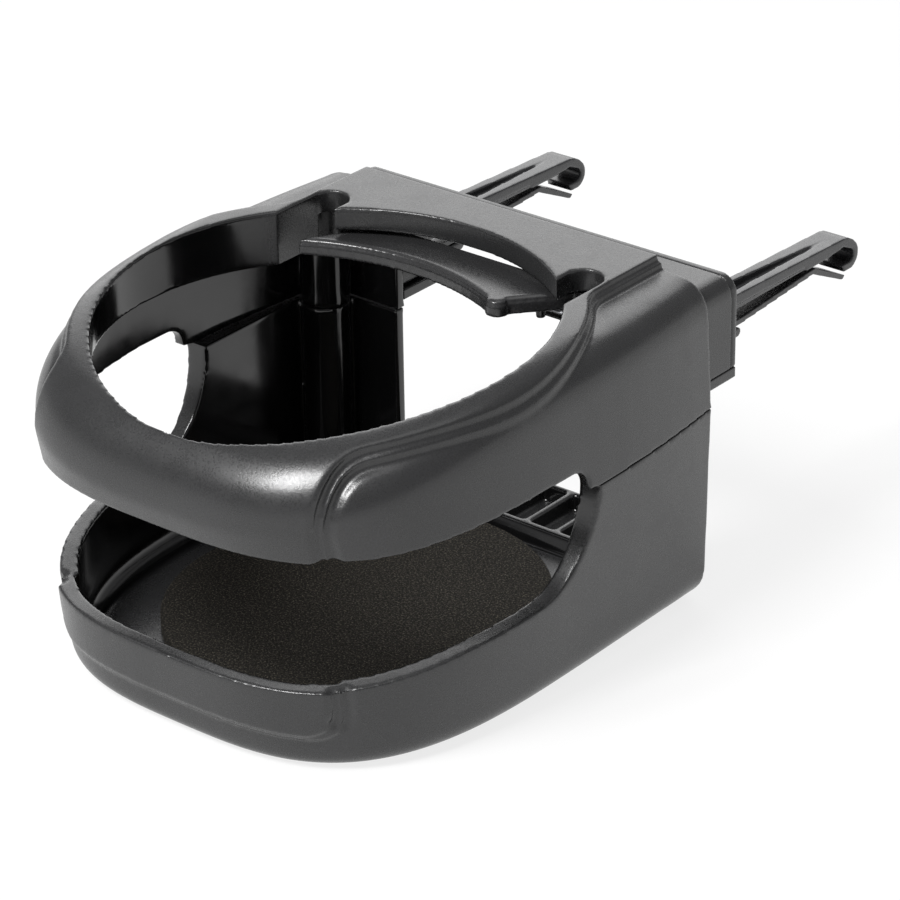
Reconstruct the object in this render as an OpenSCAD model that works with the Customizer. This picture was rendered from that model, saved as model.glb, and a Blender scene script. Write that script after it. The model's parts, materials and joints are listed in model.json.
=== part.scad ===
// Car cup holder that hangs from the louvres of an air vent by two hooks.
// A deep moulded collar holds the cup, a tray with a foam pad carries it,
// and a sprung arm under the rear plate presses the cup forwards.
// Origin on the cup axis, on the underside. +Z is up, -Y is the rounded nose
// that faces the seats, +Y is the rear with the hooks.

/* [Cup opening] */
// Diameter of the opening that the cup drops through
cup_d = 78; // [72:0.5:84]
// Height of the collar wall round the opening
collar_h = 9.5; // [7:0.5:13]
// Thickness of the collar wall
collar_wall = 2.2; // [1.6:0.1:3]
// Width of the raised lip round the opening
lip_w = 4.2; // [3:0.1:5]
// Radius of the relief notch at each end of the rear plate
notch_r = 3.4; // [2.5:0.1:4.5]
// Distance from a notch's outer wall to the opening's widest point
notch_in = 7.8; // [6:0.1:10]

/* [Body] */
// Width of the body beside the opening, at its widest
side_w = 7; // [6:0.2:10]
// How much narrower each side is at the rear than at its widest
rear_taper = 2.2; // [1:0.1:4]
// Height from the underside to the top of the rear plate
body_h = 62.7; // [56:0.5:72]
// Width of the body behind the opening
rear_margin = 9.6; // [8:0.2:14]
// Width of the nose in front of the opening, without its raised panel
nose_margin = 4.6; // [4:0.1:8]
// How far behind the cup axis the body is widest
belly_y = 15; // [10:1:20]
// Squareness of the nose in plan: 2 is an ellipse, more is squarer
nose_power = 3.15; // [2.4:0.05:3.4]
// Wall of both body mouldings
wall = 2.2; // [1.8:0.1:3]
// Height of the split between upper shell and tray
split_z = 37.3; // [32:0.2:42]
// Gap between the two mouldings along the split
split_gap = 0.2; // [0.05:0.05:0.4]
// Radius of the shoulder between the side panels and the side walls
shoulder_r = 5.8; // [3:0.5:8]
// Radius of the rolled nose
nose_r = 12.5; // [8:0.5:13]
// How far the top falls from the rear plate to the nose
crown_drop = 6.1; // [3:0.2:8]
// How far the nose tucks in under its roll
nose_tuck = 2.2; // [0:0.1:4]
// Mould draft of the upper shell's sides, over its height
shell_draft = 1.3; // [0.2:0.1:2]

/* [Raised band] */
// How far the plate, lip and nose panel stand above the side panels
band_rise = 2.4; // [1.5:0.1:3.5]
// How far the nose panel stands out in front
band_front = 1.3; // [0.8:0.1:2]
// Width of the side panel beside the rear plate
side_panel_w = 11.6; // [9:0.2:15]
// Distance from the body's widest side in to the nose panel's edge
nose_panel_in = 15.5; // [12:0.5:19]
// Width of the half-height step along the band's edge
band_ease = 0.9; // [0.4:0.1:1.5]
// Radius where the lip flows into the nose panel and the plate
band_blend = 9; // [4:0.5:12]

/* [Side windows] */
// Height of the upper edge of the window above the split
window_rise = 4.5; // [3:0.5:7]
// Distance from the cup axis back to the window's rear corner
window_rear_y = 14.5; // [12:0.5:20]
// Height of the tray's rim at the cup axis
rim_side_z = 19.3; // [16:0.2:24]
// Height of the tray's rim at the nose
rim_nose_z = 15.3; // [12:0.2:18]

/* [Tray] */
// How far the tray's sides lean in from the split to the floor
tray_draft = 3.6; // [0.5:0.1:5]
// How far the tray's nose sits behind the shell's nose
tray_setback = 1; // [1:0.1:4]
// How far the tray's nose leans in from the split to the floor
tray_nose_lean = 2.4; // [0.5:0.1:5]
// Radius of the edge along the underside's sides
tray_edge_r = 4.5; // [2:0.5:6]
// Radius of that edge at the front of the nose
tray_front_r = 2.5; // [2:0.5:6]
// Radius of that edge in the rear corners
tray_rear_r = 6; // [2:0.5:7]
// Height of the lower edge of the tray's nose panel
panel_low_z = 7; // [6:0.2:9]
// Thickness of the tray's floor
floor_t = 2.2; // [1.4:0.1:3]
// Width of each return of the rear wall, beside the rear opening
rear_return_w = 19.8; // [15:0.2:24]
// Height of the ribbed foot that reaches back through the rear opening
foot_h = 5.5; // [4:0.2:8]
// How far the ribbed area starts in front of the rear face
foot_in = 5; // [3:0.2:8]
// Pitch of the foot's ribs
rib_pitch = 6.7; // [5:0.1:9]
// Thickness of each of those ribs
rib_t = 1.3; // [1:0.1:2]

/* [Pad] */
// Radius of the foam pad, as less than the opening's
pad_less = 7.4; // [2:0.2:9]
// How far the pad's rear round sits behind the cup axis
pad_back = 9.5; // [4:0.5:12]
// How much longer than wide the pad is
pad_stretch = 7; // [0:0.5:10]
// Thickness of the foam pad
pad_t = 2.2; // [1:0.1:3]

/* [Presser arm] */
// Thickness of the arm
arm_t = 3; // [2:0.1:3.4]
// Gap between the rear plate's underside and the arm
arm_gap = 0.8; // [0.5:0.1:1.5]
// How far the arm's hollow front edge is eased beyond the opening's radius
arm_ease = 6; // [3:0.2:8]
// Radius of the arm's rounded upper edge
arm_edge_r = 1; // [0.4:0.1:1.4]
// Radius of the pivot shoulder
pivot_r = 2.5; // [2:0.1:3]
// Running clearance of the pivot
pivot_clear = 0.05; // [0.02:0.01:0.1]
// Wire diameter of the arm's torsion spring
spring_wire = 0.8; // [0.6:0.1:1]

/* [Hook rail] */
// How much narrower than the body's rear the rail housing is, at each side
rail_in = 2.4; // [1.5:0.1:5]
// Depth of the rail housing behind the body, with its cover
rail_depth = 10.4; // [9:0.2:13]
// Distance of the housing's top below the rear plate's top
rail_drop = 5.1; // [4.8:0.1:7]
// Height of the housing with its base
rail_h = 18.9; // [17:0.1:21]
// Thickness of the rail base
base_t = 1.9; // [1.5:0.1:2.5]
// Thickness of the rail's rear cover
cover_t = 1.6; // [1.4:0.1:2]
// Wall of the rail housing's top
rail_wall = 2; // [1.6:0.1:2.6]
// Height of the slot that the hooks slide in
slot_h = 10; // [9:0.2:11]
// Clearance of the sliding hooks
slide_clear = 0.3; // [0.2:0.05:0.4]

/* [Hooks] */
// Distance from the rail's inner end to each hook's centre line, pushed outwards
hook_in = 4.4; // [4:0.1:6]
// Width of each hook arm
hook_w = 5.8; // [5:0.1:7]
// How far the hook tips reach behind the rail
hook_reach = 49.2; // [36:0.2:56]
// Radius of the rounded hook tip
tip_r = 2.75; // [2.6:0.05:3.4]
// Wall of the rounded hook tip
tip_wall = 1.5; // [1.4:0.1:2]
// Thickness of the grip leaf under each hook
leaf_t = 1.1; // [0.8:0.1:1.2]
// Distance of each slider's inner end from the middle
slider_gap = 25; // [18:0.1:26]

/* [Hidden] */
$fn = 96;

black = [0.13, 0.13, 0.14];
dark = [0.09, 0.09, 0.1];
foam = [0.12, 0.1, 0.09];
steel = [0.62, 0.63, 0.65];

// Overlap that makes cuts and unions clean
e = 0.01;
// Long enough to cut right through the body
far = 200;

cup_r = cup_d / 2;
lip_r = cup_r + lip_w;
notch_x = cup_r - notch_in - notch_r;
notch_y = sqrt(pow(cup_r + notch_r + 1.1, 2) - pow(notch_x, 2));
body_w = cup_d + 2 * side_w;
rear_w = body_w - 2 * rear_taper;
rear_y = cup_r + rear_margin;
nose_y = cup_r + nose_margin;
plate_w = rear_w - 2 * side_panel_w;
nose_panel_w = body_w - 2 * nose_panel_in;
panel_z = body_h - band_rise;
plate_t = band_rise + wall - 0.4;
plate_under_z = body_h - plate_t;
crown_y = cup_r * 0.82;
tray_nose_y = nose_y - tray_setback;
tray_top_z = split_z - split_gap / 2;
shell_bottom_z = split_z + split_gap / 2;
rear_opening_w = rear_w - 2 * rear_return_w;
rear_wall = 1.8;

// Where the two screw posts stand in the rear corners
post_x = rear_w / 2 - 6.3;
post_y = rear_y - 6;
post_r = 4.4;
screw_r = 1.5;
screw_bore_r = 1.55;
screw_head_r = 2.5;
screw_head_t = 1.6;
post_bore_l = 9;

// The arm's pivot hangs from the rear plate, to the right
hub_r = pivot_r + 2.2;
pivot_x = notch_x - 1.3;
pivot_y = rear_y - 8.1;
arm_top_z = plate_under_z - arm_gap;
hub_h = 7.2;
hub_gap = 0.3;
hub_play = 0.1;
hub_bottom_z = plate_under_z - hub_h;
washer_t = 0.6;
washer_r = 4.4;
pivot_head_r = 4.2;
pivot_head_t = 1.8;
pivot_thread_r = 1.6;
pivot_thread_l = 3;

// Torsion spring round the hub
lug_reach = 8;
lug_r = 0.85;
spring_r = hub_r + 0.3 + spring_wire / 2;
spring_turns = 3;
spring_pitch = spring_wire - 0.1;
spring_top_z = arm_top_z - arm_t - 0.3 - spring_wire / 2;

// The rail housing, its slot and what slides in it
rail_w = rear_w - 2 * rail_in;
rail_top_z = body_h - rail_drop;
rail_bottom_z = rail_top_z - rail_h;
base_top_z = rail_bottom_z + base_t;
rail_rear_y = rear_y + rail_depth;
cover_y = rail_rear_y - cover_t;
slot_top_z = rail_top_z - 4.9;
slot_bottom_z = slot_top_z - slot_h;
rail_end = 6;
rail_in_w = rail_w - 2 * rail_end;
slider_front_y = rear_y + 0.6;
slider_rear_y = cover_y - slide_clear;
slider_out_x = rail_in_w / 2 - slide_clear;
slider_w = slider_out_x - slider_gap;
slider_x = slider_gap + slider_w / 2;
slider_h = rail_top_z - rail_wall - base_top_z - 2 * slide_clear;
hook_x = rail_in_w / 2 - hook_in;
hook_tip_y = rail_rear_y + hook_reach;
neck_y = rail_rear_y + slide_clear;
rail_screw_x = rail_w / 2 - 3.2;
rail_screw_z = rail_top_z - 7.2;
rail_screw_l = 13;
rail_screw_r = 1.1;
rail_head_r = 2.1;
rail_head_t = 1.2;

// Side profile of a hook arm
arm_base_z = body_h - 14.3;
arm_tip_z = body_h - 15.8;
arm_under_z = body_h - 17.9;
tip_y = hook_tip_y - tip_r;
tip_z = body_h - 19.8;
tongue_l = 12;

// Side profile of the leaf under it
leaf_root_z = body_h - 19.9;
leaf_kink_y = tip_y - 11.4;
leaf_kink_z = body_h - 18.5;
leaf_end_y = tip_y - 1;
leaf_end_z = body_h - 23.4;

function lerp(a, b, t) = a + (b - a) * t;

// Half-width of the barrel-shaped sides behind the belly line
function side_half(w_mid, w_rear, y) =
  w_mid - (w_mid - w_rear) * pow((y - belly_y) / (rear_y - belly_y), 2);

// Stations round the plan: angles round the nose, then steps along the sides
nose_steps = 54;
side_steps = 5;
stations = concat(
  [for (i = [0 : nose_steps]) [180 * i / nose_steps, 0]],
  [for (i = [1 : side_steps]) for (s = [-1, 1]) [s < 0 ? 180 : 0, i / side_steps]]);

// Plan point at station k of a squared ellipse for the nose, barrel sides and a flat rear,
// drawn in by s all round but the rear
function plan_point(k, w_mid, w_rear, front, rear, s) =
  let (t = k[0], y = lerp(belly_y, rear, k[1]))
  k[1] > 0 ? [sign(cos(t)) * (side_half(w_mid, w_rear, y) - s), y]
           : [sign(cos(t)) * (w_mid - s) * pow(abs(cos(t)), 2 / nose_power),
              belly_y - (belly_y + front - s) * pow(sin(t), 2 / nose_power)];

// 1 at the very front of the nose, 0 along the sides
function nose_share(k) = k[1] > 0 ? 0 : pow(sin(k[0]), 2);

// How far the top has fallen at y
function crown(y) = crown_drop * pow(max(0, (crown_y - y) / (crown_y + nose_y)), 2.3);

// Section of the upper body at one station: shoulder or nose roll, side wall and tuck
function shell_section(k, top, front, inset, bottom, steps) =
  let (n = nose_share(k),
       r = lerp(shoulder_r, nose_r, n),
       y = plan_point(k, body_w / 2, rear_w / 2, front, rear_y, inset).y,
       z_top = top - crown(y))
  concat(
    [for (i = [0 : steps])
      let (z = z_top - r * (1 - sin(90 * i / steps)),
           lean = (1 - n) * shell_draft * (z - split_z) / (panel_z - split_z),
           p = plan_point(k, body_w / 2, rear_w / 2, front, rear_y,
                          inset + lean + r * (1 - cos(90 * i / steps))))
      [p.x, p.y, z]],
    [let (p = plan_point(k, body_w / 2, rear_w / 2, front, rear_y, inset + n * nose_tuck))
      [p.x, p.y, bottom]]);

// The upper body's convex skin, up to top, drawn in all round by inset
module shell_form(top, front, inset, bottom, steps = 8) {
  points = [for (k = stations) each shell_section(k, top, front, inset, bottom, steps)];
  hull() polyhedron(points, [[for (i = [0 : len(points) - 1]) i]]);
}

// Plan of the opening with its relief notches
module opening_plan() {
  circle(cup_r);
  for (s = [-1, 1]) {
    translate([s * notch_x, notch_y]) circle(notch_r);
    translate([s * notch_x - notch_r, cup_r / 2]) square([2 * notch_r, notch_y - cup_r / 2]);
  }
}

// Plan of the raised band: rear plate, lip round the cup and nose panel
module band_plan() {
  offset(r = -band_blend) offset(delta = band_blend) {
    circle(lip_r);
    translate([-plate_w / 2, cup_r / 2]) square([plate_w, rear_y - cup_r / 2 + 20]);
    translate([-nose_panel_w / 2, -nose_y - 20]) square([nose_panel_w, nose_y + 20 - cup_r / 2]);
  }
}

// The raised band, at a share of its full height and spread sideways
module band(share, spread) intersection() {
  shell_form(panel_z + share * band_rise, nose_y + share * band_front, 0, shell_bottom_z);
  translate([0, 0, shell_bottom_z]) linear_extrude(far) offset(delta = spread) band_plan();
}

// Lower edge of the upper shell in side view: a rounded notch at the split, then a long rise
module shell_side_cut() {
  top = split_z + window_rise;
  r = window_rise - 0.5;
  rotate([90, 0, 90]) translate([0, 0, -far / 2]) linear_extrude(far) {
    polygon([
      [-far, 0], [-far, top - 2.4], [-nose_y, top - 2.4], [-nose_y * 0.7, top - 1.9],
      [-nose_y * 0.45, top - 1], [-nose_y * 0.15, top - 0.2], [0, top],
      [window_rear_y - 3 - r, top], [window_rear_y - 3, top - r],
      [window_rear_y, split_z], [window_rear_y, 0],
    ]);
    translate([window_rear_y - 3 - r, top - r]) circle(r);
  }
}

// Rim of the tray in side view, from the split down to the low nose
function rim_curve(steps = 26) = [for (i = [0 : steps]) let (t = 90 * i / steps)
  [window_rear_y - window_rear_y * (1 - cos(t)), split_z - (split_z - rim_side_z) * sin(t)]];

module tray_side_cut() {
  rotate([90, 0, 90]) translate([0, 0, -far / 2]) linear_extrude(far)
    polygon(concat(
      [[window_rear_y, far]], rim_curve(),
      [[-nose_y * 0.35, rim_side_z - 0.8], [-nose_y * 0.6, rim_side_z - 2.2],
       [-nose_y * 0.75, rim_nose_z + 0.7], [-nose_y, rim_nose_z],
       [-far, rim_nose_z], [-far, far]]));
}

module round_bar(size, r) {
  translate([r, 0]) square([size.x - 2 * r, size.y]);
  square([size.x, size.y - r]);
  for (x = [r, size.x - r]) translate([x, size.y - r]) circle(r);
}

module upper_shell() {
  color(black) difference() {
    union() {
      difference() {
        union() {
          shell_form(panel_z, nose_y, 0, shell_bottom_z);
          band(1, 0);
          band(0.5, band_ease);
        }
        difference() {
          shell_form(plate_under_z, nose_y, wall, shell_bottom_z - wall);
          // Rear wall, which the cavity leaves standing
          translate([-far / 2, rear_y - rear_wall, 0]) cube([far, far, far]);
        }
      }
      // Collar round the cup and along the notches, and screw posts in the rear corners
      intersection() {
        union() {
          difference() {
            translate([0, 0, body_h - collar_h - 0.7]) linear_extrude(collar_h) {
              circle(cup_r + collar_wall);
              for (s = [-1, 1]) translate([s * (notch_x + notch_r) - collar_wall, cup_r / 2])
                square([2 * collar_wall, notch_y + 1.2 - cup_r / 2]);
            }
            translate([-notch_x, cup_r * 0.6, 0]) cube([2 * notch_x, far, far]);
            translate([-far / 2, notch_y + 1, 0]) cube([far, far, far]);
          }
          for (s = [-1, 1]) translate([s * post_x, post_y, shell_bottom_z])
            cylinder(r = post_r, h = plate_under_z - shell_bottom_z + 0.5);
        }
        shell_form(panel_z - 0.6, nose_y, 0.6, shell_bottom_z);
      }
    }
    translate([0, 0, split_z + window_rise]) linear_extrude(far) opening_plan();
    shell_side_cut();
    // Rear opening, below the header that meets the rail housing
    translate([-rear_opening_w / 2, rear_y - 10, 0])
      cube([rear_opening_w, 20, rail_top_z - rail_wall]);
    for (s = [-1, 1]) {
      translate([s * post_x, post_y, shell_bottom_z - e]) cylinder(r = screw_bore_r, h = post_bore_l);
      translate([s * rail_screw_x, rear_y - 6, rail_screw_z]) rotate([-90, 0, 0])
        cylinder(r = rail_screw_r + 0.05, h = 10);
    }
    translate([pivot_x, pivot_y, plate_under_z - 1])
      cylinder(r = pivot_thread_r, h = 1.2 + pivot_thread_l);
  }
}

// Radius of the underside's edge at one station
function edge_radius(k) = k[1] > 0 ? lerp(tray_edge_r, tray_rear_r, k[1])
                                   : lerp(tray_edge_r, tray_front_r, nose_share(k));

// Section of the tray at one station: side wall and the rounded edge of its underside
function tray_section(k, front, inset, bottom, top, steps) = concat(
  [for (i = [0 : steps])
    let (r = edge_radius(k), z = bottom + r * (1 - cos(90 * i / steps)),
         lean = tray_draft * (split_z - z) / split_z,
         s = inset + r * (1 - sin(90 * i / steps)),
         p = plan_point(k, body_w / 2 - lean, rear_w / 2 - 0.2 * lean,
                        front - tray_nose_lean * (split_z - z) / split_z, rear_y - inset, s))
    [p.x, p.y, z]],
  [let (p = plan_point(k, body_w / 2, rear_w / 2, front, rear_y - inset, inset)) [p.x, p.y, top]]);

module tray_form(front, inset, bottom, top, steps = 6) {
  points = [for (k = stations) each tray_section(k, front, inset, bottom, top, steps)];
  hull() polyhedron(points, [[for (i = [0 : len(points) - 1]) i]]);
}

// Nose panel of the tray in front view, with rounded lower corners
module tray_panel_plan(grow) {
  w = nose_panel_w + 2 * grow;
  z = panel_low_z - grow;
  translate([-w / 2 + 5, z]) square([w - 10, far]);
  translate([-w / 2, z + 5]) square([w, far]);
  for (s = [-1, 1]) translate([s * (w / 2 - 5), z + 5]) circle(5);
}

// The tray's raised nose panel, at a share of its full height and spread sideways
module tray_panel(share, spread) intersection() {
  tray_form(tray_nose_y + share * band_front, 0, 0, tray_top_z);
  translate([0, -cup_r / 2, 0]) rotate([90, 0, 0]) linear_extrude(far) tray_panel_plan(spread);
}

module lower_tray() {
  foot_y = rear_y - foot_in;
  foot_w = rear_opening_w - 1;
  color(black) difference() {
    union() {
      difference() {
        union() {
          tray_form(tray_nose_y, 0, 0, tray_top_z);
          tray_panel(1, 0);
          tray_panel(0.5, band_ease);
        }
        tray_form(tray_nose_y, wall, floor_t, far);
        // The rim follows the panel's steps on the inside too
        intersection() {
          tray_form(tray_nose_y + band_front, wall, floor_t, far);
          translate([-nose_panel_w / 2 + 1.4, -far, panel_low_z + 1.5])
            cube([nose_panel_w - 2.8, far - cup_r / 2, far]);
        }
      }
      intersection() {
        tray_form(tray_nose_y, wall / 2, floor_t / 2, tray_top_z);
        union() {
          // Screw posts
          for (s = [-1, 1]) translate([s * post_x, post_y, 0]) cylinder(r = post_r, h = tray_top_z);
          // Step across the tray behind the pad, with a sloped front
          translate([-far / 2, 0, 0]) rotate([90, 0, 90]) linear_extrude(far)
            polygon([[foot_y - 1.4, 0], [foot_y - 1.4, floor_t], [foot_y, foot_h],
                     [foot_y + 1.4, foot_h], [foot_y + 1.4, 0]]);
        }
      }
      // Foot that reaches back through the rear opening
      translate([-foot_w / 2, foot_y, 0]) cube([foot_w, rail_rear_y - foot_y, foot_h]);
    }
    tray_side_cut();
    // Rear opening, down to the foot
    translate([-rear_opening_w / 2, foot_y + 1.4, foot_h]) cube([rear_opening_w, far, far]);
    // Pockets between the foot's ribs
    intersection() {
      translate([-foot_w / 2 + rib_t, foot_y + 1.4, floor_t])
        cube([foot_w - 2 * rib_t, rail_rear_y - foot_y - 1.4 - rib_t, far]);
      for (i = [-4 : 3]) translate([i * rib_pitch + rib_t / 2, foot_y, floor_t])
        cube([rib_pitch - rib_t, far, far]);
    }
    // Counterbored screw holes
    for (s = [-1, 1]) translate([s * post_x, post_y, 0]) {
      translate([0, 0, -1]) cylinder(r = screw_bore_r, h = far);
      translate([0, 0, -1]) cylinder(r = screw_head_r + 0.3, h = 1 + tray_top_z - post_bore_l);
    }
  }
}

// Long round pad, cut straight where the tray steps up behind it
module foam_pad() {
  r = cup_r - pad_less;
  color(foam) translate([0, 0, floor_t]) linear_extrude(pad_t) difference() {
    union() {
      translate([0, pad_back]) circle(r);
      translate([0, pad_back - pad_stretch]) circle(r);
      translate([-r, pad_back - pad_stretch]) square([2 * r, pad_stretch]);
    }
    translate([-far / 2, rear_y - foot_in - 1.7]) square(far);
  }
}

// Plan of the presser arm: a crescent that reaches left from the hub, hollow towards the cup,
// with a rounded thumb at its right corner
module arm_plan() {
  back_y = pivot_y - 0.7;
  difference() {
    polygon([
      [-cup_r * 0.73, cup_r * 0.68], [-cup_r * 0.7, cup_r * 0.56], [cup_r * 0.35, cup_r * 0.56],
      [cup_r * 0.4, cup_r * 0.69], [pivot_x - 2.6, pivot_y - 3.7], [pivot_x, pivot_y + hub_r - 1],
      [pivot_x - 6, back_y], [-cup_r * 0.48, back_y], [-cup_r * 0.64, cup_r * 0.82],
    ]);
    translate([-cup_r * 0.17, -cup_r * 0.367]) circle(cup_r + arm_ease);
  }
  translate([cup_r * 0.367, cup_r * 0.7]) circle(2.1);
}

module presser_arm() {
  color(dark) difference() {
    union() {
      // Three layers that round the upper edge
      for (a = [0, 45, 80]) translate([0, 0, arm_top_z - arm_t])
        linear_extrude(arm_t - arm_edge_r * (1 - sin(a)))
          offset(delta = -arm_edge_r * (1 - cos(a))) arm_plan();
      translate([pivot_x, pivot_y, hub_bottom_z]) cylinder(r = hub_r, h = hub_h - hub_gap);
      // Lug that the spring's front leg pushes
      translate([pivot_x - lug_reach, pivot_y - spring_r - spring_wire / 2 - lug_r, arm_top_z - arm_t - 2])
        cylinder(r = lug_r, h = 3);
    }
    translate([pivot_x, pivot_y, hub_bottom_z - 1]) cylinder(r = pivot_r + pivot_clear, h = hub_h + 2);
  }
}

module presser_pivot() {
  head_z = hub_bottom_z - hub_play - washer_t - pivot_head_t;
  color(steel) translate([pivot_x, pivot_y, 0]) {
    translate([0, 0, head_z]) cylinder(r = pivot_head_r, h = pivot_head_t);
    translate([0, 0, head_z]) cylinder(r = pivot_r, h = plate_under_z - head_z);
    translate([0, 0, plate_under_z - e]) cylinder(r = pivot_thread_r - 0.05, h = pivot_thread_l + e);
  }
}

module presser_washer() {
  color(steel) translate([pivot_x, pivot_y, hub_bottom_z - hub_play - washer_t]) difference() {
    cylinder(r = washer_r, h = washer_t);
    translate([0, 0, -1]) cylinder(r = pivot_r + 0.1, h = washer_t + 2);
  }
}

// Close-wound coils round the hub, a front leg under the arm and a rear leg to the post
module presser_spring() {
  leg_r = spring_wire / 2 - 0.04;
  low = (spring_turns - 1) * spring_pitch;
  color(steel) translate([pivot_x, pivot_y, spring_top_z]) {
    for (i = [0 : spring_turns - 1]) translate([0, 0, -i * spring_pitch])
      rotate_extrude() translate([spring_r, 0]) circle(d = spring_wire, $fn = 24);
    translate([0, -spring_r, 0]) rotate([0, -90, 0]) cylinder(r = leg_r, h = lug_reach + 1.4, $fn = 24);
    translate([0, spring_r, -low]) rotate([0, 90, 0]) cylinder(r = leg_r, h = 4.8, $fn = 24);
  }
}

module rail_housing() {
  color(black) difference() {
    translate([-rail_w / 2, cover_y, base_top_z]) rotate([90, 0, 0])
      linear_extrude(cover_y - rear_y) round_bar([rail_w, rail_top_z - base_top_z], 3.4);
    // Hollow, open below, in front and behind
    translate([-rail_in_w / 2, rear_y - 1, base_top_z - 1])
      cube([rail_in_w, rail_depth + 2, rail_top_z - rail_wall - base_top_z + 1]);
    for (s = [-1, 1]) translate([s * rail_screw_x, rear_y - 1, rail_screw_z]) rotate([-90, 0, 0])
      cylinder(r = rail_screw_r + 0.05, h = rail_depth + 2);
  }
}

// Rear plate that keeps the sliders in, with the slot that the hooks pass through
module rail_cover() {
  color(black) difference() {
    translate([-rail_w / 2, rail_rear_y, base_top_z]) rotate([90, 0, 0])
      linear_extrude(cover_t) round_bar([rail_w, rail_top_z - base_top_z], 3.4);
    translate([-rail_in_w / 2, cover_y - 1, base_top_z - 1])
      cube([rail_in_w, cover_t + 2, slot_top_z - base_top_z + 1]);
    for (s = [-1, 1]) translate([s * rail_screw_x, cover_y - 1, rail_screw_z]) rotate([-90, 0, 0])
      cylinder(r = rail_screw_r + 0.05, h = cover_t + 2);
  }
}

module rail_base() {
  color(black) difference() {
    union() {
      translate([-rail_w / 2, rear_y, rail_bottom_z]) cube([rail_w, rail_depth, base_t]);
      // Upstand that closes the slot from below
      translate([-rail_in_w / 2 + 0.1, cover_y, rail_bottom_z])
        cube([rail_in_w - 0.2, cover_t, slot_bottom_z - rail_bottom_z]);
    }
    // Open in the middle, apart from a bar below the slot
    translate([-rear_opening_w / 2, rear_y - 1, rail_bottom_z - 1]) {
      cube([rear_opening_w, rail_depth - cover_t - 0.8, base_t + 2]);
      cube([rear_opening_w, rail_depth + 2, 1 + base_t - 0.3]);
    }
  }
}

// Side profile of one hook arm, in Y and Z: its end rolls over and down into an open loop
module hook_profile() {
  inner_r = tip_r - tip_wall;
  under = arm_tip_z - tip_wall - 0.2;
  difference() {
    union() {
      polygon([
        [neck_y, arm_under_z], [neck_y, arm_base_z], [tip_y - 2, arm_tip_z],
        [tip_y - 0.6, arm_tip_z - 0.3], [tip_y + 1, tip_z + tip_r + 0.1],
        [tip_y + tip_r * cos(35), tip_z + tip_r * sin(35)], [tip_y, tip_z], [tip_y - 7, arm_under_z],
      ]);
      translate([tip_y, tip_z]) circle(tip_r);
      translate([tip_y - 1.8, tip_z - tip_r]) square([1.8, tip_wall]);
    }
    translate([tip_y, tip_z]) circle(inner_r);
    polygon([
      [tip_y - 9, arm_under_z - 9], [tip_y - 9, arm_under_z - 0.2], [tip_y - 7, arm_under_z],
      [tip_y - 2, under], [tip_y + 0.5, tip_z + inner_r - 0.1], [tip_y + 0.6, tip_z],
      [tip_y, tip_z - inner_r], [tip_y - 4, tip_z - inner_r],
    ]);
  }
}

// One hook with its slider. The slider reaches further towards the middle of the rail.
module hook() {
  difference() {
    union() {
      translate([hook_x - hook_w / 2, 0, 0]) rotate([90, 0, 90])
        linear_extrude(hook_w) hook_profile();
      // Neck through the slot, with the tongue that carries the leaf's root
      translate([hook_x - hook_w / 2, slider_rear_y - e, slot_bottom_z + slide_clear])
        cube([hook_w, neck_y - slider_rear_y + 2, slot_h - 2 * slide_clear]);
      translate([hook_x - hook_w / 2, 0, leaf_root_z - leaf_t]) rotate([90, 0, 90])
        linear_extrude(hook_w) {
          translate([neck_y, -1.9]) square([tongue_l - 1, 1.7]);
          translate([neck_y + tongue_l - 1, -1.05]) circle(0.85);
          translate([neck_y, -1.9]) square([2, arm_under_z - leaf_root_z + leaf_t + 2]);
        }
      // Slider inside the housing
      translate([slider_gap, slider_front_y, base_top_z + slide_clear])
        cube([slider_w, slider_rear_y - slider_front_y, slider_h]);
    }
    // Tapering channel along the top of the arm
    translate([hook_x, 0, 0]) hull() {
      translate([-2.3, neck_y + 1.5, arm_under_z + 1]) cube([3.8, e, 10]);
      translate([0.3, hook_tip_y - 7.4, arm_tip_z - 0.3]) cube([0.2, e, 10]);
    }
    // Step along the lower part of both sides
    for (x = [hook_x - hook_w / 2 - 1, hook_x + hook_w / 2 - 0.4])
      translate([x, 0, 0]) rotate([90, 0, 90]) linear_extrude(1.4)
        polygon([[neck_y + 3, arm_under_z - 1], [neck_y + 3, arm_under_z + 1.4],
                 [tip_y - 14.5, arm_under_z + 0.8], [tip_y - 13, arm_under_z - 1]]);
    // Lightening pockets in the slider, open to the front
    for (x = [slider_gap + 1.8, slider_x + 0.9])
      translate([x, slider_front_y - 1, base_top_z + slide_clear + 1.8])
        cube([slider_w / 2 - 2.7, 5, slider_h - 3.6]);
  }
}

module hook_left() color(dark) mirror([1, 0, 0]) hook();
module hook_right() color(dark) hook();

// Thin leaf that rises towards the arm and turns down under the loop
module leaf() {
  translate([hook_x - hook_w / 2 + 0.3, 0, 0]) rotate([90, 0, 90]) linear_extrude(hook_w - 0.6)
    polygon([
      [neck_y + 2, leaf_root_z], [neck_y + 2, leaf_root_z - leaf_t],
      [neck_y + tongue_l, leaf_root_z - leaf_t], [leaf_kink_y, leaf_kink_z - leaf_t],
      [leaf_end_y - 0.8, leaf_end_z - leaf_t + 0.4], [leaf_end_y, leaf_end_z],
      [leaf_kink_y + 0.5, leaf_kink_z], [neck_y + tongue_l, leaf_root_z],
    ]);
}

module leaf_left() color(dark) mirror([1, 0, 0]) leaf();
module leaf_right() color(dark) leaf();

module screw(length, r, head_r, head_t) {
  translate([0, 0, -head_t]) cylinder(r = head_r, h = head_t);
  translate([0, 0, -e]) cylinder(r = r, h = length + e);
}

// Two screws from below, up the tray's posts into the shell's posts
module shell_screws() {
  color(steel) for (s = [-1, 1]) translate([s * post_x, post_y, tray_top_z - post_bore_l])
    screw(post_bore_l + 7, screw_r, screw_head_r, screw_head_t);
}

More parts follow.
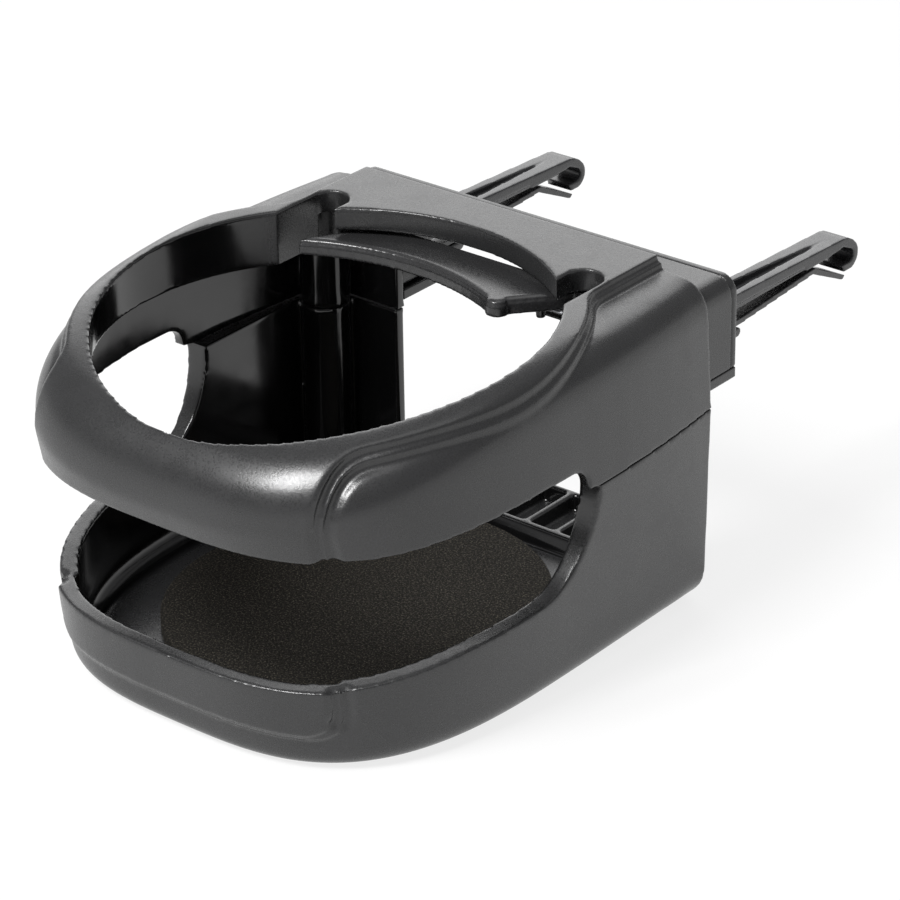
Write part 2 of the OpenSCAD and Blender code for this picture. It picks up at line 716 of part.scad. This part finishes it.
// Two screws from behind, through cover and housing into the shell's rear wall
module rail_screws() {
  color(steel) for (s = [-1, 1]) translate([s * rail_screw_x, rail_rear_y, rail_screw_z])
    rotate([90, 0, 0]) screw(rail_screw_l, rail_screw_r, rail_head_r, rail_head_t);
}

upper_shell();
lower_tray();
foam_pad();
presser_arm();
presser_pivot();
presser_washer();
presser_spring();
rail_housing();
rail_cover();
rail_base();
hook_left();
hook_right();
leaf_left();
leaf_right();
shell_screws();
rail_screws();
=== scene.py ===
import json
import math
import bmesh
import bpy
from mathutils import Matrix, Vector
from mathutils.kdtree import KDTree


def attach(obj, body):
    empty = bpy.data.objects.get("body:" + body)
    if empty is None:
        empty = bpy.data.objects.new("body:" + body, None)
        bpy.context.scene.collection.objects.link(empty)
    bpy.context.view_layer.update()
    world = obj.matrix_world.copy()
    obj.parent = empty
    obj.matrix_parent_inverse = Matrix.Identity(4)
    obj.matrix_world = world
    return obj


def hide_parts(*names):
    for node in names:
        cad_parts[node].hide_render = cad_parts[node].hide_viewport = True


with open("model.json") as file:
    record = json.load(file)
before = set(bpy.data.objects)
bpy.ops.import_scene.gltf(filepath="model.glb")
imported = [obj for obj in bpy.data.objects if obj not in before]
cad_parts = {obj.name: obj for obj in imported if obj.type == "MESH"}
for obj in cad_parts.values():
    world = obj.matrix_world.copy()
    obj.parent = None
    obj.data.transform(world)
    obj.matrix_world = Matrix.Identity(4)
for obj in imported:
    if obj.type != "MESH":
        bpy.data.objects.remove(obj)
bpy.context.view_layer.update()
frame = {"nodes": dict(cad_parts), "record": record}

MM = 0.001
nodes = frame["nodes"]
scene = bpy.context.scene


# Camera at the photograph's viewing angle

PHOTO_PX = 900
SENSOR_MM = 36
FOCAL_PX = 3769.072
AZIMUTH, ELEVATION, ROLL = 39.317, 26.892, -0.824
PX_PER_MM = 6.081
SHIFT_X, SHIFT_Y = -20.445, 24.356
PLATE_Z = 62.7


def make_camera():
    """The camera that was fitted to the photograph, aimed from the rear plate's height."""
    a, b, r = (math.radians(v) for v in (AZIMUTH, ELEVATION, ROLL))
    right = Vector((math.cos(a), math.sin(a), 0))
    back = Vector((math.sin(a) * math.cos(b), -math.cos(a) * math.cos(b), math.sin(b)))
    up = back.cross(right)
    rolled_right = math.cos(r) * right + math.sin(r) * up
    rolled_up = -math.sin(r) * right + math.cos(r) * up
    place = FOCAL_PX / PX_PER_MM * back - SHIFT_X * rolled_right - SHIFT_Y * rolled_up
    place = (place + Vector((0, 0, PLATE_Z))) * MM
    turn = Matrix((rolled_right, rolled_up, back)).transposed().to_4x4()
    data = bpy.data.cameras.new("camera")
    cam = bpy.data.objects.new("camera", data)
    scene.collection.objects.link(cam)
    cam.matrix_world = Matrix.Translation(place) @ turn
    data.sensor_width = SENSOR_MM
    data.lens = FOCAL_PX / PHOTO_PX * SENSOR_MM
    data.clip_start, data.clip_end = 0.05, 50
    scene.camera = cam


# Materials

NOISE_MIDDLE = (0.3, 0.7)
PLASTIC_IOR = 1.58


def shades(colour, spread):
    """A darker and a lighter shade of one colour."""
    return tuple(c * (1 - spread) for c in colour), tuple(c * (1 + spread) for c in colour)


class Nodes:
    """A short way to build the node tree of a material or of the world."""

    def __init__(self, owner):
        owner.use_nodes = True
        self.owner = owner
        self.tree = owner.node_tree
        self.shader = self.tree.nodes.get("Principled BSDF")

    def add(self, kind, **settings):
        n = self.tree.nodes.new(kind)
        for key, value in settings.items():
            setattr(n, key, value)
        return n

    def link(self, a, b):
        self.tree.links.new(a, b)

    def feed(self, value, socket):
        """Links a socket, or sets the plain number or colour on it."""
        if isinstance(value, (int, float, tuple)):
            socket.default_value = value
        else:
            self.link(value, socket)

    def coords(self):
        if not hasattr(self, "_coords"):
            self._coords = self.add("ShaderNodeTexCoord").outputs["Object"]
        return self._coords

    def noise(self, size_mm, detail, roughness=0.5):
        n = self.add("ShaderNodeTexNoise")
        n.inputs["Scale"].default_value = 1 / (size_mm * MM)
        n.inputs["Detail"].default_value = detail
        n.inputs["Roughness"].default_value = roughness
        self.link(self.coords(), n.inputs["Vector"])
        return n.outputs["Fac"]

    def ramp(self, value, low, high, at=NOISE_MIDDLE):
        n = self.add("ShaderNodeValToRGB")
        for stop, place, colour in zip(n.color_ramp.elements, at, (low, high)):
            stop.position = place
            stop.color = (*colour, 1)
        self.link(value, n.inputs["Fac"])
        return n.outputs["Color"]

    def span(self, value, a, b, low, high):
        """Maps the range a to b onto low to high."""
        n = self.add("ShaderNodeMapRange")
        n.inputs["From Min"].default_value = a
        n.inputs["From Max"].default_value = b
        n.inputs["To Min"].default_value = low
        n.inputs["To Max"].default_value = high
        self.link(value, n.inputs["Value"])
        return n.outputs["Result"]

    def math(self, op, a, b):
        n = self.add("ShaderNodeMath", operation=op)
        self.feed(a, n.inputs[0])
        self.feed(b, n.inputs[1])
        return n.outputs[0]

    def mix_number(self, share, a, b):
        n = self.add("ShaderNodeMix", data_type="FLOAT")
        for value, i in ((share, 0), (a, 2), (b, 3)):
            self.feed(value, n.inputs[i])
        return n.outputs[0]

    def mix_colour(self, share, a, b):
        n = self.add("ShaderNodeMix", data_type="RGBA")
        for value, i in ((share, 0), (a, 6), (b, 7)):
            self.feed(value, n.inputs[i])
        return n.outputs[2]

    def bump(self, height, depth_mm, strength=1.0):
        n = self.add("ShaderNodeBump")
        n.inputs["Distance"].default_value = depth_mm * MM
        n.inputs["Strength"].default_value = strength
        self.link(height, n.inputs["Height"])
        return n.outputs["Normal"]

    def seen(self):
        """1 for what the camera sees itself or in a reflection, 0 for the light that things get."""
        path = self.add("ShaderNodeLightPath")
        return self.math("MAXIMUM", path.outputs["Is Camera Ray"], path.outputs["Is Glossy Ray"])

    def inner_polish_and_painted_shade_mask(self):
        """1 on the faces towards the cup's axis, which are polished and darkened with painted
        shade, 0 outside and on the plate's edge.
        """
        geo = self.add("ShaderNodeNewGeometry")
        flat = self.add("ShaderNodeVectorMath", operation="MULTIPLY")
        flat.inputs[1].default_value = (1, 1, 0)
        self.link(self.coords(), flat.inputs[0])
        unit = self.add("ShaderNodeVectorMath", operation="NORMALIZE")
        self.link(flat.outputs[0], unit.inputs[0])
        dot = self.add("ShaderNodeVectorMath", operation="DOT_PRODUCT")
        self.link(geo.outputs["Normal"], dot.inputs[0])
        self.link(unit.outputs[0], dot.inputs[1])
        inward = self.span(dot.outputs["Value"], -0.15, -0.45, 0.0, 1.0)
        place = self.add("ShaderNodeSeparateXYZ")
        self.link(self.coords(), place.inputs[0])
        behind = self.span(place.outputs["Y"], 0.018, 0.023, 0.0, 1.0)
        above = self.span(place.outputs["Z"], 0.049, 0.052, 0.0, 1.0)
        plate_edge = self.math("MULTIPLY", behind, above)
        return self.math("MULTIPLY", inward, self.span(plate_edge, 0, 1, 1.0, 0.0))


def plastic(name, colour, rough, grain_mm=0.34, grain_depth=0.018, inner=None):
    """Moulded plastic with a spark-eroded grain, polished inside and darkened there with painted
    shade if inner is given.
    """
    m = Nodes(bpy.data.materials.new(name))
    tone = m.noise(14, 3)
    base = m.ramp(tone, *shades(colour, 0.12))
    cloud = m.noise(5, 3)
    grain = m.noise(grain_mm, 2, 0.65)
    gloss = m.math("ADD", m.span(cloud, *NOISE_MIDDLE, rough - 0.02, rough + 0.03),
                   m.span(grain, 0.35, 0.65, -0.05, 0.05))
    relief = grain
    if inner is not None:
        inner_painted_shade_colour, inner_rough = inner
        mask = m.inner_polish_and_painted_shade_mask()
        # Inside, the darker base colour is painted shade, while the lower roughness and the lost
        # grain are the real polish
        base = m.mix_colour(mask, base, m.ramp(tone, *shades(inner_painted_shade_colour, 0.15)))
        inner_gloss = m.span(cloud, *NOISE_MIDDLE, inner_rough - 0.02, inner_rough + 0.04)
        gloss = m.mix_number(mask, gloss, inner_gloss)
        relief = m.math("MULTIPLY", grain, m.span(mask, 0, 1, 1.0, 0.04))
    m.link(base, m.shader.inputs["Base Color"])
    m.link(gloss, m.shader.inputs["Roughness"])
    m.link(m.bump(relief, grain_depth), m.shader.inputs["Normal"])
    m.shader.inputs["IOR"].default_value = PLASTIC_IOR
    return m.owner


def foam():
    """Open-cell foam: dark brown-black with pale flecks and deep pores."""
    m = Nodes(bpy.data.materials.new("pad_foam"))
    pores = m.add("ShaderNodeTexVoronoi")
    pores.inputs["Scale"].default_value = 1 / (0.75 * MM)
    m.link(m.coords(), pores.inputs["Vector"])
    fleck = m.noise(0.34, 2, 0.8)
    base = m.ramp(fleck, (0.006, 0.0052, 0.004), (0.135, 0.12, 0.094), (0.52, 0.74))
    height = m.math("ADD", pores.outputs["Distance"], m.math("MULTIPLY", fleck, 1.5))
    m.link(base, m.shader.inputs["Base Color"])
    m.link(m.bump(height, 0.25, 0.9), m.shader.inputs["Normal"])
    m.shader.inputs["Specular IOR Level"].default_value = 0.25
    m.shader.inputs["Roughness"].default_value = 0.95
    return m.owner


def steel():
    """Zinc-plated steel, slightly uneven in tone and gloss."""
    m = Nodes(bpy.data.materials.new("screw_steel"))
    base = m.ramp(m.noise(0.8, 3), (0.50, 0.51, 0.54), (0.66, 0.67, 0.69))
    m.link(base, m.shader.inputs["Base Color"])
    m.link(m.span(m.noise(0.3, 2), *NOISE_MIDDLE, 0.28, 0.42), m.shader.inputs["Roughness"])
    m.shader.inputs["Metallic"].default_value = 1.0
    return m.owner


# Inside the shell the darker colour is painted shade, and the roughness of 0.12 is a real polish
SHELL = plastic("shell_plastic", (0.0185, 0.0186, 0.0192), 0.29,
                inner=((0.004, 0.004, 0.0042), 0.12))
ARM = plastic("arm_plastic", (0.022, 0.022, 0.0228), 0.25, grain_mm=0.6, grain_depth=0.004)
HOOK = plastic("hook_plastic", (0.024, 0.024, 0.026), 0.28, grain_depth=0.006)
FOAM = foam()
STEEL = steel()


# Pieces

SAME_POINT_MM = 0.002
POINT_STEP_MM = 0.4
FOOT_TURN = math.radians(18)
SHARP_TURN = math.radians(27)
BEVEL_TURN = math.radians(40)

SPLIT_MM = 37.3
SPLIT_SPARED_MM = 0.3
SPLIT_WEIGHT = 0.1

EVEN_KEEP_MM, EVEN_FADE_MM, EVEN_ROUNDS = 0.8, 2.2, 60

# The hollow at the foot of the step begins beside the cup and is deepest at the nose
GROOVE_Y_MM, GROOVE_FADE_MM = -24, 12
GROOVE_HALF_MM = 2.0


def clamp(value):
    return min(1.0, max(0.0, value))


def apply_modifiers(obj):
    """Gives an object its evaluated mesh, without the vertex groups that the mesh brings along."""
    graph = bpy.context.evaluated_depsgraph_get()
    mesh = bpy.data.meshes.new_from_object(obj.evaluated_get(graph))
    obj.modifiers.clear()
    obj.data = mesh
    obj.vertex_groups.clear()


def edge_points(mesh, wanted):
    """Points along the edges of a CAD mesh that wanted(f, g, turn, middle) picks."""
    bm = bmesh.new()
    bm.from_mesh(mesh)
    bmesh.ops.remove_doubles(bm, verts=bm.verts, dist=SAME_POINT_MM * MM)
    bm.normal_update()
    points = []
    for edge in bm.edges:
        if len(edge.link_faces) != 2:
            continue
        f, g = edge.link_faces
        if f.normal.length < 0.5 or g.normal.length < 0.5:
            continue
        va, vb = (v.co for v in edge.verts)
        if not wanted(f, g, f.normal.angle(g.normal, 0), (va + vb) / 2):
            continue
        count = max(1, int((va - vb).length / (POINT_STEP_MM * MM)))
        points += [va.lerp(vb, k / count) for k in range(count + 1)]
    bm.free()
    return points


def is_step_foot(f, g, turn, mid):
    """An outer concave edge, where a raised band meets the face below it."""
    middles = g.calc_center_median() - f.calc_center_median()
    if turn < FOOT_TURN or middles.dot(f.normal) <= 0:
        return False
    out = Vector((mid.x, mid.y, 0)).normalized()
    return not any(n.dot(out) < -0.35 or n.z < -0.4 for n in (f.normal, g.normal))


def is_sharp(f, g, turn, mid):
    return turn > SHARP_TURN


def distances(mesh, points):
    """How far each vertex of a mesh is from the nearest of the given points, in millimetres."""
    tree = KDTree(len(points))
    for i, point in enumerate(points):
        tree.insert(point, i)
    tree.balance()
    return [tree.find(v.co)[2] / MM for v in mesh.vertices]


def smooth_by(obj, weights, rounds):
    """Smooths a mesh where its weight is above 0, and applies the result."""
    group = obj.vertex_groups.new(name="soft")
    levels = {}
    for i, weight in enumerate(weights):
        level = round(clamp(weight), 1)
        if level > 0:
            levels.setdefault(level, []).append(i)
    for level, members in levels.items():
        group.add(members, level, "REPLACE")
    soften = obj.modifiers.new("soft", "SMOOTH")
    soften.factor = 0.5
    soften.iterations = rounds
    soften.vertex_group = "soft"
    apply_modifiers(obj)


def spare_split(obj):
    """A weight for each vertex, low beside the split so that the joint stays a fine line."""
    return [max(SPLIT_WEIGHT, abs(v.co.z / MM - SPLIT_MM) - SPLIT_SPARED_MM)
            for v in obj.data.vertices]


def spare_edges(obj, sharp):
    """A weight for each vertex, 0 on every real edge and 1 on the long curves."""
    return [(far - EVEN_KEEP_MM) / EVEN_FADE_MM for far in distances(obj.data, sharp)]


def hollow(obj, fars, groove_mm):
    """Presses a shallow hollow along the foot of the raised band's step, most at the nose."""
    normals = [v.normal.copy() for v in obj.data.vertices]
    flat = []
    for v, n, far in zip(obj.data.vertices, normals, fars):
        front = clamp((GROOVE_Y_MM - v.co.y / MM) / GROOVE_FADE_MM)
        depth = groove_mm * MM * front * max(0.0, 1 - (far / GROOVE_HALF_MM) ** 2) ** 2
        flat += list(v.co - n * depth)
    obj.data.vertices.foreach_set("co", flat)
    obj.data.update()


def finish_band(obj, cad_mesh, more_rounds, groove_mm, last_rounds):
    """Takes the flats out of the long curves round a raised band, and hollows its step's foot."""
    feet = edge_points(cad_mesh, is_step_foot)
    weights = spare_edges(obj, edge_points(cad_mesh, is_sharp) + feet)
    smooth_by(obj, weights, EVEN_ROUNDS)
    fars = distances(obj.data, feet)
    smooth_by(obj, weights, more_rounds)
    hollow(obj, fars, groove_mm)
    if last_rounds:
        smooth_by(obj, weights, last_rounds)


def lighten(obj, most):
    """Takes triangles out of the flat and gently curved parts, down to the number given."""
    count = sum(len(p.vertices) - 2 for p in obj.data.polygons)
    if count > most:
        thin = obj.modifiers.new("lighten", "DECIMATE")
        thin.ratio = most / count
        apply_modifiers(obj)


def moulded(node, body, material, slot, voxel_mm, rounds, most, band):
    """A copy of a CAD node with the small radii that a moulding has on every edge."""
    cad_mesh = nodes[node].data
    obj = bpy.data.objects.new(node + "_skin", cad_mesh.copy())
    scene.collection.objects.link(obj)
    obj.data.materials.clear()
    remesh = obj.modifiers.new("remesh", "REMESH")
    remesh.mode = "VOXEL"
    remesh.voxel_size = voxel_mm * MM
    remesh.use_smooth_shade = True
    apply_modifiers(obj)
    if band is None:
        smooth_by(obj, [1.0] * len(obj.data.vertices), rounds)
    else:
        smooth_by(obj, spare_split(obj), rounds)
        finish_band(obj, cad_mesh, *band)
    lighten(obj, most)
    obj.data.materials.append(material)
    for poly in obj.data.polygons:
        poly.use_smooth = True
    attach(obj, body)
    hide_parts(node)


def finish_node(node, material, bevel_mm=0.0):
    """A CAD node that stays as it is, with a better material and rounded edges."""
    obj = nodes[node]
    obj.data.materials.clear()
    obj.data.materials.append(material)
    if bevel_mm:
        b = obj.modifiers.new("edges", "BEVEL")
        b.width = bevel_mm * MM
        b.segments = 2
        b.limit_method = "ANGLE"
        b.angle_limit = BEVEL_TURN
    return obj


BODY = {n: b for b, ns in frame["record"]["behaviour"]["bodies"].items() for n in ns}

# Node, material, slot, voxel in mm, rounds of smoothing, most triangles,
# and for a raised band more rounds, the depth of its hollow in mm and the last rounds
for node, *values in (
    ("upper_shell", SHELL, "shell_plastic", 0.30, 12, 190000, (22, 0.65, 30)),
    ("lower_tray", SHELL, "shell_plastic", 0.31, 11, 190000, (9, 0.8, 0)),
    ("rail_housing", SHELL, "shell_plastic", 0.30, 3, 40000, None),
    ("rail_cover", SHELL, "shell_plastic", 0.28, 2, 25000, None),
    ("rail_base", SHELL, "shell_plastic", 0.30, 3, 25000, None),
    ("presser_arm", ARM, "arm_plastic", 0.24, 7, 50000, None),
    ("hook_left", HOOK, "hook_plastic", 0.24, 4, 45000, None),
    ("hook_right", HOOK, "hook_plastic", 0.24, 4, 45000, None),
    ("leaf_left", HOOK, "hook_plastic", 0.2, 2, 15000, None),
    ("leaf_right", HOOK, "hook_plastic", 0.2, 2, 15000, None),
):
    moulded(node, BODY[node], *values)

pad = finish_node("foam_pad", FOAM, 0.3)
for node in ("presser_pivot", "presser_washer", "presser_spring", "shell_screws", "rail_screws"):
    finish_node(node, STEEL)


# Floor, backdrop and light

FLOOR_GREY = (0.93, 0.93, 0.93, 1)
FLOOR_GLOW = 0.8
FLOOR_SIZE = 12
FLOOR_DROP_MM = 0.2
WHITE = (1, 1, 1)
CEILING_GREY = (0.34, 0.34, 0.345)
HORIZON_TO_CEILING = (0.06, 0.24)
WORLD_LIGHT = (0.22, 0.22, 0.222, 1)


def floor_white():
    """A pale floor, lifted towards white for camera and glossy rays, that keeps its shadow."""
    m = Nodes(bpy.data.materials.new("floor_white"))
    m.shader.inputs["Base Color"].default_value = FLOOR_GREY
    m.shader.inputs["Roughness"].default_value = 0.9
    light = m.add("ShaderNodeEmission")
    light.inputs["Color"].default_value = (*WHITE, 1)
    mix = m.add("ShaderNodeMixShader")
    m.link(m.math("MULTIPLY", m.seen(), FLOOR_GLOW), mix.inputs[0])
    m.link(m.shader.outputs[0], mix.inputs[1])
    m.link(light.outputs[0], mix.inputs[2])
    m.link(mix.outputs[0], m.tree.nodes["Material Output"].inputs["Surface"])
    return m.owner


def make_floor():
    bpy.ops.mesh.primitive_plane_add(size=FLOOR_SIZE, location=(0, 0, -FLOOR_DROP_MM * MM))
    floor = bpy.context.object
    floor.name = "floor"
    floor.data.materials.append(floor_white())


def make_world():
    """A studio that is white round the horizon and dim overhead, and lights things evenly."""
    scene.world = bpy.data.worlds.new("studio")
    m = Nodes(scene.world)
    split = m.add("ShaderNodeSeparateXYZ")
    m.link(m.add("ShaderNodeTexCoord").outputs["Generated"], split.inputs[0])
    sweep = m.ramp(split.outputs["Z"], WHITE, CEILING_GREY, HORIZON_TO_CEILING)
    background = m.tree.nodes["Background"]
    background.inputs["Strength"].default_value = 1.0
    m.link(m.mix_colour(m.seen(), WORLD_LIGHT, sweep), background.inputs["Color"])


def lamp(name, place, aim, width, height, power):
    """A rectangular lamp, in metres and watts."""
    data = bpy.data.lights.new(name, "AREA")
    data.energy = power
    data.shape = "RECTANGLE"
    data.size = width
    data.size_y = height
    obj = bpy.data.objects.new(name, data)
    scene.collection.objects.link(obj)
    obj.location = place
    obj.rotation_euler = (Vector(aim) - Vector(place)).to_track_quat("-Z", "Y").to_euler()


make_camera()
make_floor()
make_world()
lamp("key", (-0.15, -0.63, 0.885), (0, 0, 0.03), 0.36, 0.46, 14)
lamp("rear", (-0.75, 0.95, 0.62), (0, 0.02, 0.05), 1.3, 0.9, 7)
lamp("top", (0.15, 0.1, 1.2), (0, 0, 0.03), 0.7, 0.7, 1.5)

scene.view_settings.view_transform = "Standard"
